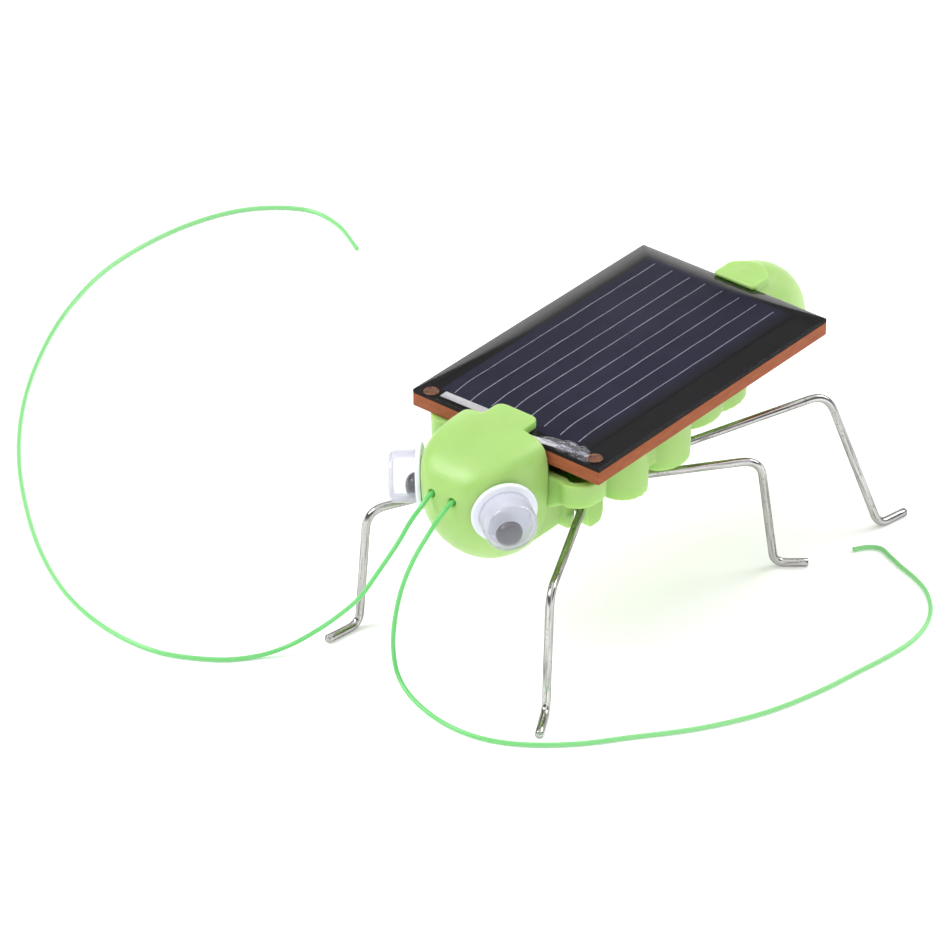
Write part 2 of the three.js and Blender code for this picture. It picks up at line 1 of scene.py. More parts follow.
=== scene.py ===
"""A solar powered insect toy: green plastic body, small solar panel, wire legs and antennae.

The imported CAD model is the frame. Lengths are in millimetres here and turn to metres when a
mesh is made. The head points to -Y and the insect's own left side is +X.
"""

import math

import bpy
import numpy as np
from mathutils import Matrix, Vector


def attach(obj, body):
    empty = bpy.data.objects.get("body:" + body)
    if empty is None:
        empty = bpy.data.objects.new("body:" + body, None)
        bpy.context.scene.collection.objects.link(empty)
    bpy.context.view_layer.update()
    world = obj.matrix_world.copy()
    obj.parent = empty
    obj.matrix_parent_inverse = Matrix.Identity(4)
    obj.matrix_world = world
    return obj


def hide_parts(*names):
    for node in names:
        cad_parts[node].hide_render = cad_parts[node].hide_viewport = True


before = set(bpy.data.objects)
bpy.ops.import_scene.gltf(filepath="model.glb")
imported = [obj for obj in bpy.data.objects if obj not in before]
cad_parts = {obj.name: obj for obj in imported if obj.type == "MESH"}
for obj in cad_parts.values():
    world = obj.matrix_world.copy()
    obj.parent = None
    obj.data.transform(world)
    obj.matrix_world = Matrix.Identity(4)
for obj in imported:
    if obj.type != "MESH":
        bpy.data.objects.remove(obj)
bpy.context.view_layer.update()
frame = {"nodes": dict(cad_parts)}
MM = 0.001

# ---------- driving dimensions, as in the CAD ----------
PANEL_WIDTH = 22
PANEL_LENGTH = 34.6
PANEL_Y = 1.2
BOARD_BOTTOM = 20.8
BOARD_TOP = 22.2
CELL = {"x0": -9.3, "x1": 7.9, "y0": -14.1, "y1": 17.4, "top": 22.26}

LEG_WIRE = 0.4
WIRE_Z = 12.7
FOOT_Z = 0.4
LEGS = [
    {
        "node": "leg_wire_front",
        "crossing": (4.4, -10.1, WIRE_Z),
        "knee": (10.9, -22.9, 12.6),
        "ankle": (11.25, -23.8, FOOT_Z),
        "toe_left": (13.3, -27.35, FOOT_Z),
        "toe_right": (-11.75, -27.75, FOOT_Z),
    },
    {
        "node": "leg_wire_middle",
        "crossing": (4.4, -2.8, WIRE_Z),
        "knee": (12.6, 6.4, 13.35),
        "ankle": (12.5, 9.2, FOOT_Z),
        "toe_left": (14.95, 11.25, FOOT_Z),
        "toe_right": (-14.95, 11.25, FOOT_Z),
    },
    {
        "node": "leg_wire_rear",
        "crossing": (4.0, 2.7, WIRE_Z),
        "knee": (10.85, 19.2, 13.9),
        "ankle": (16.25, 20.9, FOOT_Z),
        "toe_left": (16.85, 24.35, FOOT_Z),
        "toe_right": (-16.85, 24.35, FOOT_Z),
    },
]
BEND = {"crossing": 1.0, "knee": 2.0, "ankle": 1.2}

ANTENNA_RADIUS = 0.22
GROUND = 0.26
ANTENNAE = {
    "antenna_left": [
        (1.2, -23.9, 19.5),
        (1.2, -25.4, 19.45),
        (1.15, -26.5, 18.9),
        (0.7, -27.6, 17.4),
        (-0.9, -28.2, 13.8),
        (-2.2, -28.4, 10.0),
        (-2.9, -28.5, 6.3),
        (-2.9, -28.7, 3.8),
        (-2.1, -29.2, 1.8),
        (-0.2, -30.0, 0.7),
        (3.2, -30.9, GROUND),
        (6.7, -31.3, GROUND),
        (9.9, -30.8, GROUND),
        (13.1, -29.2, GROUND),
        (16.7, -26.1, GROUND),
        (19.8, -22.2, GROUND),
        (23.8, -17.0, GROUND),
        (26.9, -11.2, GROUND),
        (28.7, -5.2, GROUND),
        (29.5, -0.7, GROUND),
        (30.2, 3.6, GROUND),
        (30.4, 6.8, GROUND),
        (29.9, 9.7, GROUND),
        (28.7, 12.2, GROUND),
        (26.5, 14.5, GROUND),
        (24.3, 15.7, GROUND),
        (22.1, 16.5, GROUND),
        (20.2, 17.3, GROUND),
        (18.8, 17.8, GROUND),
        (17.7, 17.2, GROUND),
        (16.9, 16.0, GROUND),
    ],
    "antenna_right": [
        (-1.2, -23.9, 19.5),
        (-1.2, -25.4, 19.45),
        (-1.3, -26.5, 18.7),
        (-1.8, -27.5, 17.3),
        (-2.5, -28.3, 15.3),
        (-4.1, -29.1, 12.0),
        (-6.0, -29.8, 8.5),
        (-8.5, -29.9, 5.5),
        (-10.7, -30.3, 3.2),
        (-12.7, -31.3, 1.4),
        (-14.3, -33.0, 0.5),
        (-15.8, -34.9, GROUND),
        (-17.6, -36.7, GROUND),
        (-22.5, -39.2, GROUND),
        (-28.3, -39.5, GROUND),
        (-35.2, -37.8, GROUND),
        (-42.5, -33.9, GROUND),
        (-50.4, -27.9, GROUND),
        (-56.8, -21.9, GROUND),
        (-62.6, -15.0, GROUND),
        (-67.3, -7.8, GROUND),
        (-71.3, 0.2, GROUND),
        (-74.0, 8.9, GROUND),
        (-74.5, 15.7, GROUND),
        (-73.7, 22.4, GROUND),
        (-71.7, 27.6, GROUND),
        (-68.7, 30.9, GROUND),
        (-65.6, 32.4, GROUND),
        (-61.7, 31.9, GROUND),
        (-56.9, 29.4, GROUND),
    ],
}


# ---------- camera ----------
CAMERA = {
    "target": (-14.717, -2.522, 5.0),
    "azimuth": 39.491,
    "elevation": 32.333,
    "distance": 558.11,
    "lens": 220.26,
    "sensor": 36,
}


def add_camera():
    """The camera at the viewing angle, aimed at its target."""
    camera = bpy.data.objects.new("camera", bpy.data.cameras.new("camera"))
    bpy.context.scene.collection.objects.link(camera)
    camera.data.lens = CAMERA["lens"]
    camera.data.sensor_width = CAMERA["sensor"]
    camera.data.clip_start = 0.01
    target = Vector(CAMERA["target"]) * MM
    azimuth = math.radians(CAMERA["azimuth"])
    elevation = math.radians(CAMERA["elevation"])
    back = Vector(
        (
            math.sin(azimuth) * math.cos(elevation),
            -math.cos(azimuth) * math.cos(elevation),
            math.sin(elevation),
        )
    )
    camera.location = target + back * CAMERA["distance"] * MM
    camera.rotation_euler = back.to_track_quat("Z", "Y").to_euler()
    bpy.context.scene.camera = camera


# ---------- curves and meshes ----------
def smooth_path(points, steps=10):
    """Points along a centripetal Catmull-Rom curve through the given points."""
    points = [Vector(p) for p in points]
    ends = [points[0] * 2 - points[1], *points, points[-1] * 2 - points[-2]]
    path = []
    for i in range(1, len(ends) - 2):
        p0, p1, p2, p3 = ends[i - 1 : i + 3]
        t1 = (p1 - p0).length ** 0.5
        t2 = t1 + (p2 - p1).length ** 0.5
        t3 = t2 + (p3 - p2).length ** 0.5
        for k in range(steps):
            t = t1 + (t2 - t1) * k / steps
            a1 = p0 * ((t1 - t) / t1) + p1 * (t / t1)
            a2 = p1 * ((t2 - t) / (t2 - t1)) + p2 * ((t - t1) / (t2 - t1))
            a3 = p2 * ((t3 - t) / (t3 - t2)) + p3 * ((t - t2) / (t3 - t2))
            b1 = a1 * ((t2 - t) / t2) + a2 * (t / t2)
            b2 = a2 * ((t3 - t) / (t3 - t1)) + a3 * ((t - t1) / (t3 - t1))
            path.append(b1 * ((t2 - t) / (t2 - t1)) + b2 * ((t - t1) / (t2 - t1)))
    path.append(points[-1])
    return path


def bent_path(corners, steps=12):
    """Straight runs joined by rounded bends. Each corner is (point, bend)."""
    path = [Vector(corners[0][0])]
    for i in range(1, len(corners) - 1):
        at = Vector(corners[i][0])
        bend = corners[i][1]
        before = at + (Vector(corners[i - 1][0]) - at).normalized() * bend
        after = at + (Vector(corners[i + 1][0]) - at).normalized() * bend
        for k in range(steps + 1):
            t = k / steps
            path.append(before * (1 - t) ** 2 + at * 2 * t * (1 - t) + after * t**2)
    path.append(Vector(corners[-1][0]))
    return path


def split_long(path, longest):
    """The same path with extra points, so that no step is longer than the given length."""
    dense = [path[0]]
    for start, end in zip(path, path[1:]):
        parts = max(1, math.ceil((end - start).length / longest))
        dense += [start.lerp(end, k / parts) for k in range(1, parts + 1)]
    return dense


def new_object(name, vertices, faces, smooth=True):
    """A mesh object from points in millimetres."""
    mesh = bpy.data.meshes.new(name)
    mesh.from_pydata([tuple(Vector(v) * MM) for v in vertices], [], faces)
    mesh.validate()
    mesh.polygons.foreach_set("use_smooth", [smooth] * len(mesh.polygons))
    thing = bpy.data.objects.new(name, mesh)
    bpy.context.scene.collection.objects.link(thing)
    return thing


def tube(name, path, radius, sides=20, chamfer=0.08):
    """A round bar along a path, its ends slightly rounded. Its UV map runs round and along."""
    path = [Vector(p) for p in path]
    tangents = []
    for i in range(len(path)):
        before = path[max(i - 1, 0)]
        after = path[min(i + 1, len(path) - 1)]
        tangents.append((after - before).normalized())
    side = tangents[0].orthogonal().normalized()
    sections = [(path[0] - tangents[0] * chamfer, tangents[0], 1 - chamfer / radius)]
    sections += [(p, t, 1) for p, t in zip(path, tangents)]
    sections += [(path[-1] + tangents[-1] * chamfer, tangents[-1], 1 - chamfer / radius)]
    vertices = []
    along = []
    run = 0
    last = sections[0][0]
    for centre, tangent, scale in sections:
        side = (side - tangent * side.dot(tangent)).normalized()
        other = tangent.cross(side)
        run += (centre - last).length
        last = centre
        along.append(run)
        for k in range(sides):
            turn = 2 * math.pi * k / sides
            offset = side * math.cos(turn) + other * math.sin(turn)
            vertices.append(centre + offset * radius * scale)
    faces = []
    for i in range(len(sections) - 1):
        for k in range(sides):
            a = i * sides + k
            b = i * sides + (k + 1) % sides
            faces.append((a, b, b + sides, a + sides))
    faces.append(tuple(reversed(range(sides))))
    faces.append(tuple(range(len(vertices) - sides, len(vertices))))
    bar = new_object(name, vertices, faces)
    layer = bar.data.uv_layers.new(name="along")
    for polygon in bar.data.polygons:
        for loop in polygon.loop_indices:
            vertex = bar.data.loops[loop].vertex_index
            ring, place = divmod(vertex, sides)
            if place == 0 and polygon.index % sides == sides - 1:
                place = sides
            layer.data[loop].uv = (place / sides, along[ring])
    return bar


def turned(name, profile, matrix, segments=96):
    """A solid of revolution about local Y from a closed (radius, y) profile."""
    vertices = []
    rings = []
    for radius, y in profile:
        if radius < 1e-6:
            rings.append([len(vertices)])
            vertices.append(matrix @ Vector((0, y, 0)))
            continue
        rings.append(list(range(len(vertices), len(vertices) + segments)))
        for k in range(segments):
            turn = 2 * math.pi * k / segments
            local = Vector((radius * math.sin(turn), y, radius * math.cos(turn)))
            vertices.append(matrix @ local)
    faces = []
    for a, b in zip(rings, rings[1:] + rings[:1]):
        if len(a) == 1 and len(b) == 1:
            continue
        for k in range(segments):
            n = (k + 1) % segments
            corners = [a[k % len(a)], a[n % len(a)], b[n % len(b)], b[k % len(b)]]
            faces.append(tuple(dict.fromkeys(corners)))
    piece = new_object(name, vertices, faces)
    add_radius_map(piece, matrix)
    return piece


def add_radius_map(piece, matrix):
    """A UV map whose U is the distance from local Y in millimetres and V the height along it."""
    back = matrix.inverted()
    layer = piece.data.uv_layers.new(name="radius")
    for loop in piece.data.loops:
        local = back @ (piece.data.vertices[loop.vertex_index].co / MM)
        layer.data[loop.index].uv = (math.hypot(local.x, local.z), local.y)


def rounded(profile, radius=0.08, steps=4):
    """A (radius, y) profile with each corner that lies off the axis rounded."""
    result = []
    count = len(profile)
    for i, corner in enumerate(profile):
        at = Vector(corner)
        if at.x < 1e-6:
            result.append(tuple(at))
            continue
        before = Vector(profile[i - 1]) - at
        after = Vector(profile[(i + 1) % count]) - at
        reach = min(radius, before.length * 0.45, after.length * 0.45)
        start = at + before.normalized() * reach
        end = at + after.normalized() * reach
        for k in range(steps + 1):
            t = k / steps
            result.append(tuple(start * (1 - t) ** 2 + at * 2 * t * (1 - t) + end * t**2))
    return result


def applied(thing):
    """Turns an object's modifiers into its mesh."""
    depsgraph = bpy.context.evaluated_depsgraph_get()
    mesh = bpy.data.meshes.new_from_object(thing.evaluated_get(depsgraph))
    thing.modifiers.clear()
    thing.data = mesh
    return thing


def moulded(node, name, voxel, rounds):
    """A copy of a CAD node's solid with softened edges. The voxel is in millimetres."""
    thing = bpy.data.objects.new(name, frame["nodes"][node].data.copy())
    bpy.context.scene.collection.objects.link(thing)
    thing.data.transform(Matrix.Scale(1 / MM, 4))
    remesh = thing.modifiers.new("remesh", "REMESH")
    remesh.mode = "VOXEL"
    remesh.voxel_size = voxel
    soften = thing.modifiers.new("soften", "SMOOTH")
    soften.factor = 0.5
    soften.iterations = rounds
    applied(thing)
    thing.data.transform(Matrix.Scale(MM, 4))
    thing.data.polygons.foreach_set("use_smooth", [True] * len(thing.data.polygons))
    return thing


def dress(thing, look, nodes=(), body="insect"):
    """Gives a piece its material, and the body and CAD nodes that it stands for."""
    thing.data.materials.clear()
    thing.data.materials.append(look)
    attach(thing, body)
    if nodes:
        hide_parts(*nodes)
    return thing


# ---------- materials ----------
def new_material(name):
    """A material with a principled shader and nothing else in it."""
    look = bpy.data.materials.new(name)
    look.use_nodes = True
    tree = look.node_tree
    tree.nodes.clear()
    output = tree.nodes.new("ShaderNodeOutputMaterial")
    shader = tree.nodes.new("ShaderNodeBsdfPrincipled")
    tree.links.new(shader.outputs[0], output.inputs[0])
    return look, tree, shader


def object_noise(tree, scale, detail=3, stretch=(1, 1, 1)):
    """Noise fixed to the object's own coordinates. The scale is in waves per metre."""
    coordinates = tree.nodes.new("ShaderNodeTexCoord")
    mapping = tree.nodes.new("ShaderNodeMapping")
    mapping.inputs["Scale"].default_value = stretch
    noise = tree.nodes.new("ShaderNodeTexNoise")
    noise.inputs["Scale"].default_value = scale
    noise.inputs["Detail"].default_value = detail
    tree.links.new(coordinates.outputs["Object"], mapping.inputs[0])
    tree.links.new(mapping.outputs[0], noise.inputs["Vector"])
    return noise


def ramp(tree, source, stops):
    """Colours along a 0 to 1 value. Each stop is (place, colour)."""
    node = tree.nodes.new("ShaderNodeValToRGB")
    elements = node.color_ramp.elements
    while len(elements) < len(stops):
        elements.new(0.5)
    for element, (place, colour) in zip(elements, stops):
        element.position = place
        element.color = (*colour, 1)
    tree.links.new(source, node.inputs[0])
    return node


def add_bump(tree, shader, height, distance, strength=1.0):
    """Bump from a height. The distance is in metres."""
    bump = tree.nodes.new("ShaderNodeBump")
    bump.inputs["Distance"].default_value = distance
    bump.inputs["Strength"].default_value = strength
    tree.links.new(height, bump.inputs["Height"])
    tree.links.new(bump.outputs[0], shader.inputs["Normal"])


PLASTIC_GRAIN = 0.000004
METAL_GRAIN = 0.000003


def plastic(name, light, dark, roughness, scatter=0.0, shine=0.5):
    """Moulded plastic: slightly cloudy colour and a very fine surface grain."""
    look, tree, shader = new_material(name)
    cloud = object_noise(tree, 260)
    colour = ramp(tree, cloud.outputs[0], [(0.3, dark), (0.7, light)])
    tree.links.new(colour.outputs[0], shader.inputs["Base Color"])
    gloss = ramp(
        tree,
        object_noise(tree, 900, 4).outputs[0],
        [(0.3, (roughness * 0.85,) * 3), (0.7, (roughness * 1.15,) * 3)],
    )
    tree.links.new(gloss.outputs[0], shader.inputs["Roughness"])
    add_bump(tree, shader, object_noise(tree, 5200, 2).outputs[0], PLASTIC_GRAIN)
    shader.inputs["Specular IOR Level"].default_value = shine
    if scatter:
        shader.inputs["Subsurface Weight"].default_value = scatter
        shader.inputs["Subsurface Radius"].default_value = (0.6, 1.0, 0.3)
        shader.inputs["Subsurface Scale"].default_value = 0.002
    return look


def metal(name, light, dark, roughness, bareness=1.0):
    """Metal with a fine grain. A dull tinned face has a bareness below 1."""
    look, tree, shader = new_material(name)
    shader.inputs["Metallic"].default_value = bareness
    noise = object_noise(tree, 3000, 4)
    colour = ramp(tree, noise.outputs[0], [(0.35, dark), (0.65, light)])
    tree.links.new(colour.outputs[0], shader.inputs["Base Color"])
    gloss = ramp(
        tree,
        noise.outputs[0],
        [(0.3, (roughness * 0.7,) * 3), (0.7, (roughness * 1.3,) * 3)],
    )
    tree.links.new(gloss.outputs[0], shader.inputs["Roughness"])
    add_bump(tree, shader, noise.outputs[0], METAL_GRAIN)
    return look


def uv_part(tree, place):
    """One coordinate of the piece's own UV map."""
    coordinates = tree.nodes.new("ShaderNodeUVMap")
    parts = tree.nodes.new("ShaderNodeSeparateXYZ")
    tree.links.new(coordinates.outputs[0], parts.inputs[0])
    return parts.outputs[place]


def object_share(tree, axis, low, high):
    """0 to 1 between two places along an axis of the object, given in millimetres."""
    coordinates = tree.nodes.new("ShaderNodeTexCoord")
    parts = tree.nodes.new("ShaderNodeSeparateXYZ")
    tree.links.new(coordinates.outputs["Object"], parts.inputs[0])
    scale = tree.nodes.new("ShaderNodeMapRange")
    scale.inputs["From Min"].default_value = low * MM
    scale.inputs["From Max"].default_value = high * MM
    tree.links.new(parts.outputs[axis], scale.inputs["Value"])
    return scale.outputs[0]


def mixed(tree, amount, first, second):
    """The first colour where the amount is 0 and the second where it is 1."""
    mix = tree.nodes.new("ShaderNodeMix")
    mix.data_type = "RGBA"
    tree.links.new(amount, mix.inputs[0])
    tree.links.new(first, mix.inputs[6])
    tree.links.new(second, mix.inputs[7])
    return mix.outputs[2]


def wire_steel():
    """Drawn steel wire: streaks along its length, darker and lighter in a painted reflection of its
    surroundings and faintly grooved, small nicks and a few duller stretches.
    """
    look, tree, shader = new_material("drawn_steel_wire")
    shader.inputs["Metallic"].default_value = 1
    coordinates = tree.nodes.new("ShaderNodeUVMap")
    mapping = tree.nodes.new("ShaderNodeMapping")
    mapping.inputs["Scale"].default_value = (14, 0.3, 1)
    reflection_streaks_and_grooves = tree.nodes.new("ShaderNodeTexNoise")
    reflection_streaks_and_grooves.inputs["Scale"].default_value = 1
    reflection_streaks_and_grooves.inputs["Detail"].default_value = 4
    tree.links.new(coordinates.outputs[0], mapping.inputs[0])
    tree.links.new(mapping.outputs[0], reflection_streaks_and_grooves.inputs["Vector"])
    # Painted reflection: the wire is coloured darker than bare steel, in streaks along its length,
    # to stand in for the darker surroundings that it mirrors.
    colour = ramp(
        tree,
        reflection_streaks_and_grooves.outputs[0],
        [
            (0.32, (0.26, 0.25, 0.245)),
            (0.48, (0.46, 0.45, 0.445)),
            (0.68, (0.62, 0.61, 0.605)),
        ],
    )
    nick = ramp(
        tree,
        object_noise(tree, 2600, 2).outputs[0],
        [(0.60, (0, 0, 0)), (0.68, (0.5, 0.5, 0.5))],
    )
    scratch = new_colour(tree, (0.22, 0.21, 0.20))
    base = mixed(tree, nick.outputs[0], colour.outputs[0], scratch)
    tree.links.new(base, shader.inputs["Base Color"])
    dull = ramp(
        tree,
        object_noise(tree, 420, 4).outputs[0],
        [(0.35, (0.12, 0.12, 0.12)), (0.7, (0.24, 0.24, 0.24))],
    )
    tree.links.new(dull.outputs[0], shader.inputs["Roughness"])
    shader.inputs["Specular Tint"].default_value = (0.35, 0.34, 0.33, 1)
    add_bump(tree, shader, reflection_streaks_and_grooves.outputs[0], 0.000012, 0.6)
    return look


def new_colour(tree, colour):
    """One plain colour, to be mixed with another."""
    node = tree.nodes.new("ShaderNodeRGB")
    node.outputs[0].default_value = (*colour, 1)
    return node.outputs[0]


PRINTED_BLACK = (0.012, 0.011, 0.012)
DULL_TOP = {"roughness": 0.6, "specular": 0.12}


def board_material():
    """Brown phenolic board with fibres in its cut sides and a black printed top."""
    look, tree, shader = new_material("phenolic_board")
    fibre = object_noise(tree, 700, 4, (1, 1, 4))
    brown = ramp(
        tree,
        fibre.outputs[0],
        [
            (0.3, (0.29, 0.082, 0.035)),
            (0.55, (0.33, 0.10, 0.043)),
            (0.75, (0.365, 0.115, 0.05)),
        ],
    )
    black = new_colour(tree, PRINTED_BLACK)
    height = object_share(tree, "Z", BOARD_TOP - 0.06, BOARD_TOP - 0.02)
    tree.links.new(mixed(tree, height, brown.outputs[0], black), shader.inputs["Base Color"])
    shader.inputs["Roughness"].default_value = DULL_TOP["roughness"]
    shader.inputs["Specular IOR Level"].default_value = DULL_TOP["specular"]
    add_bump(tree, shader, fibre.outputs[0], 0.000012)
    return look


def cell_material():
    """Blue-black silicon, with a faint cloud in the blue that turns to black at its +X edge."""
    look, tree, shader = new_material("silicon")
    cloud = object_noise(tree, 160, 3)
    colour = ramp(
        tree,
        cloud.outputs[0],
        [(0.3, (0.019, 0.019, 0.042)), (0.7, (0.027, 0.027, 0.056))],
    )
    black = new_colour(tree, PRINTED_BLACK)
    side = object_share(tree, "X", CELL["x1"] - 1.6, CELL["x1"] - 0.1)
    tree.links.new(mixed(tree, side, colour.outputs[0], black), shader.inputs["Base Color"])
    shader.inputs["Roughness"].default_value = DULL_TOP["roughness"]
    shader.inputs["Specular IOR Level"].default_value = DULL_TOP["specular"]
    return look


def antenna_material():
    """Glossy green lacquer, strong green near the head; the paler green further out is painted
    light.
    """
    look, tree, shader = new_material("green_lacquer")
    away = tree.nodes.new("ShaderNodeMapRange")
    away.inputs["From Min"].default_value = 18
    away.inputs["From Max"].default_value = 55
    tree.links.new(uv_part(tree, 1), away.inputs["Value"])
    # Painted light: the wire is coloured paler the further it runs from the head, standing in for
    # how brightly its far part is lit.
    strong = new_colour(tree, (0.14, 0.60, 0.16))
    pale = new_colour(tree, (0.25, 0.66, 0.25))
    base = mixed(tree, away.outputs[0], strong, pale)
    tree.links.new(base, shader.inputs["Base Color"])
    shader.inputs["Roughness"].default_value = 0.16
    add_bump(tree, shader, object_noise(tree, 900, 2).outputs[0], 0.000006)
    return look


def pupil_material():
    """Glossy black disc with a painted highlight: grey over its middle, black at its rim."""
    look, tree, shader = new_material("pupil_black")
    # Painted highlight: the grey middle stands in for the light on the pupil's dome; the black rim
    # is the pupil's own colour.
    ring = ramp(
        tree,
        uv_scaled(tree, PUPIL["radius"]),
        [
            (0.0, (0.034, 0.034, 0.044)),
            (0.6, (0.046, 0.046, 0.058)),
            (0.8, (0.006, 0.006, 0.008)),
        ],
    )
    tree.links.new(ring.outputs[0], shader.inputs["Base Color"])
    shader.inputs["Roughness"].default_value = 0.22
    return look


def uv_scaled(tree, whole):
    """The UV map's U as a share of the given length."""
    share = tree.nodes.new("ShaderNodeMath")
    share.operation = "DIVIDE"
    share.inputs[1].default_value = whole
    tree.links.new(uv_part(tree, 0), share.inputs[0])
    return share.outputs[0]


def clear(
    name, tint, roughness, index=1.5, haze=0.0, edge_haze=0.0, haze_colour=(0.9, 0.9, 0.92)
):
    """Clear moulded plastic or resin: it passes light, reflects by angle, and may be hazy."""
    look = bpy.data.materials.new(name)
    look.use_nodes = True
    tree = look.node_tree
    tree.nodes.clear()
    output = tree.nodes.new("ShaderNodeOutputMaterial")
    mix = tree.nodes.new("ShaderNodeMixShader")
    through = tree.nodes.new("ShaderNodeBsdfTransparent")
    through.inputs["Color"].default_value = (*tint, 1)
    milk = tree.nodes.new("ShaderNodeBsdfDiffuse")
    milk.inputs["Color"].default_value = (*haze_colour, 1)
    inside = tree.nodes.new("ShaderNodeMixShader")
    tree.links.new(through.outputs[0], inside.inputs[1])
    tree.links.new(milk.outputs[0], inside.inputs[2])
    gloss = tree.nodes.new("ShaderNodeBsdfGlossy")
    gloss.inputs["Roughness"].default_value = roughness
    fresnel = tree.nodes.new("ShaderNodeFresnel")
    fresnel.inputs["IOR"].default_value = index
    edge = tree.nodes.new("ShaderNodeMath")
    edge.operation = "MULTIPLY_ADD"
    edge.inputs[1].default_value = edge_haze
    edge.inputs[2].default_value = haze
    tree.links.new(fresnel.outputs[0], edge.inputs[0])
    tree.links.new(edge.outputs[0], inside.inputs[0])
    geometry = tree.nodes.new("ShaderNodeNewGeometry")
    front = tree.nodes.new("ShaderNodeMath")
    front.operation = "SUBTRACT"
    front.inputs[0].default_value = 1
    outside = tree.nodes.new("ShaderNodeMath")
    outside.operation = "MULTIPLY"
    tree.links.new(geometry.outputs["Backfacing"], front.inputs[1])
    tree.links.new(fresnel.outputs[0], outside.inputs[0])
    tree.links.new(front.outputs[0], outside.inputs[1])
    tree.links.new(outside.outputs[0], mix.inputs[0])
    tree.links.new(inside.outputs[0], mix.inputs[1])
    tree.links.new(gloss.outputs[0], mix.inputs[2])
    tree.links.new(mix.outputs[0], output.inputs[0])
    return look


# ---------- wires ----------
def mirrored(point):
    """The same point on the insect's other side."""
    return (-point[0], point[1], point[2])


def add_legs(steel):
    """Three bent wires, each a pair of legs that cross under the tray."""
    for leg in LEGS:
        corners = [
            (leg["toe_left"], 0),
            (leg["ankle"], BEND["ankle"]),
            (leg["knee"], BEND["knee"]),
            (leg["crossing"], BEND["crossing"]),
            (mirrored(leg["crossing"]), BEND["crossing"]),
            (mirrored(leg["knee"]), BEND["knee"]),
            (mirrored(leg["ankle"]), BEND["ankle"]),
            (leg["toe_right"], 0),
        ]
        path = split_long(bent_path(corners), 1.0)
        wire = tube(leg["node"] + "_look", path, LEG_WIRE, 24)
        dress(wire, steel, [leg["node"]])


def add_antennae(look):
    """The two free wires, each a thin bar seen from end to end."""
    for node, points in ANTENNAE.items():
        path = smooth_path(points)
        wire = tube(node + "_look", path, ANTENNA_RADIUS, 20, 0.06)
        dress(wire, look, [node])


# ---------- eyes ----------
EYE = {"x": 5.15, "y": -22.35, "z": 18.5, "axis": (0.812, -0.578, -0.06)}
EYE_BASE = {"radius": 3.12, "thick": 0.5, "rounding": 0.16}
EYE_DOME = {"radius": 2.5, "high": 2.65, "wall": 0.14, "rounding": 0.62, "lift": 0.03}
PUPIL = {"radius": 1.25, "thick": 1.1, "swing": 1.08, "edge": 0.06, "shoulder": 0.15}
PUPIL_HEIGHT = {"left": 1.38, "right": 0.15}


def eye_matrix(side):
    """The frame of an eye: its +Y points out of the head, its origin is on the base."""
    x, y, z = EYE["axis"]
    axis = Vector((side * x, y, z)).normalized()
    turn = Vector((0, 1, 0)).rotation_difference(axis).to_matrix().to_4x4()
    return Matrix.Translation((side * EYE["x"], EYE["y"], EYE["z"])) @ turn


def add_eyes(white, glassy, black):
    """Two eyes, each a white base, a clear dome and a loose pupil that hangs low at rest."""
    for label, side in (("left", 1), ("right", -1)):
        matrix = eye_matrix(side)
        radius = EYE_BASE["radius"]
        thick = EYE_BASE["thick"]
        base = turned(
            f"eye_base_{label}_look",
            rounded([(0, -thick), (radius, -thick), (radius, 0), (0, 0)], EYE_BASE["rounding"]),
            matrix,
        )
        dress(base, white, [f"eye_base_{label}"])
        outer = EYE_DOME["radius"]
        high = EYE_DOME["high"]
        wall = EYE_DOME["wall"]
        foot = EYE_DOME["lift"]
        shell = [
            (outer - wall, foot),
            (outer, foot),
            (outer, high),
            (0, high),
            (0, high - wall),
            (outer - wall, high - wall),
        ]
        soft = rounded(shell, EYE_DOME["rounding"], 8)
        dome = turned(f"eye_dome_{label}_look", soft, matrix)
        dress(dome, glassy, [f"eye_dome_{label}"])
        down = matrix.to_quaternion().inverted() @ Vector((0, 0, -1))
        down.y = 0
        down = down.normalized() * PUPIL["swing"]
        place = matrix @ Matrix.Translation((down.x, PUPIL_HEIGHT[label], down.z))
        wide = PUPIL["radius"]
        deep = PUPIL["thick"]
        edge = PUPIL["edge"]
        shoulder = PUPIL["shoulder"]
        arc = [
            (wide * math.cos(a), shoulder + (deep - shoulder) * math.sin(a))
            for a in np.linspace(0, math.pi / 2, 12)
        ]
        arc[-1] = (0, deep)
        profile = [(0, 0), (wide - edge, 0), (wide, edge), *arc]
        disc = turned(f"pupil_{label}_look", profile, place)
        dress(disc, black, [f"pupil_{label}"], f"eye_pupil_{label}")


# ---------- panel ----------
def slab(name, x0, x1, y0, y1, z0, z1, edge, steps=3):
    """A flat block with rounded edges."""
    xs = (x0, x1)
    ys = (y0, y1)
    zs = (z0, z1)
    vertices = [(x, y, z) for z in zs for y in ys for x in xs]
    faces = [(0, 2, 3, 1), (4, 5, 7, 6), (0, 1, 5, 4), (2, 6, 7, 3), (0, 4, 6, 2), (1, 3, 7, 5)]
    block = new_object(name, vertices, faces)
    bevel = block.modifiers.new("edges", "BEVEL")
    bevel.width = edge * MM
    bevel.segments = steps
    return applied(block)


# The least gap between the coat or the ink and the board's own sides.
COAT_INSET = 0.03
INK_INSET = 0.02

# The poured coat is domed: it sinks gently to its +X and -Y edges and steeply to the others.
COAT_TOP = 22.94
COAT_GENTLE = 0.36
COAT_STEEP = {"drop": 0.37, "run": 2.4, "power": 1.6}
COAT_FOOT = 22.55
COAT_RIPPLE = {"high": 0.006, "across": 0.9, "along": 0.55, "shift": 0.5}
EDGE_BAND = {"wide": 0.55, "top": 22.55}


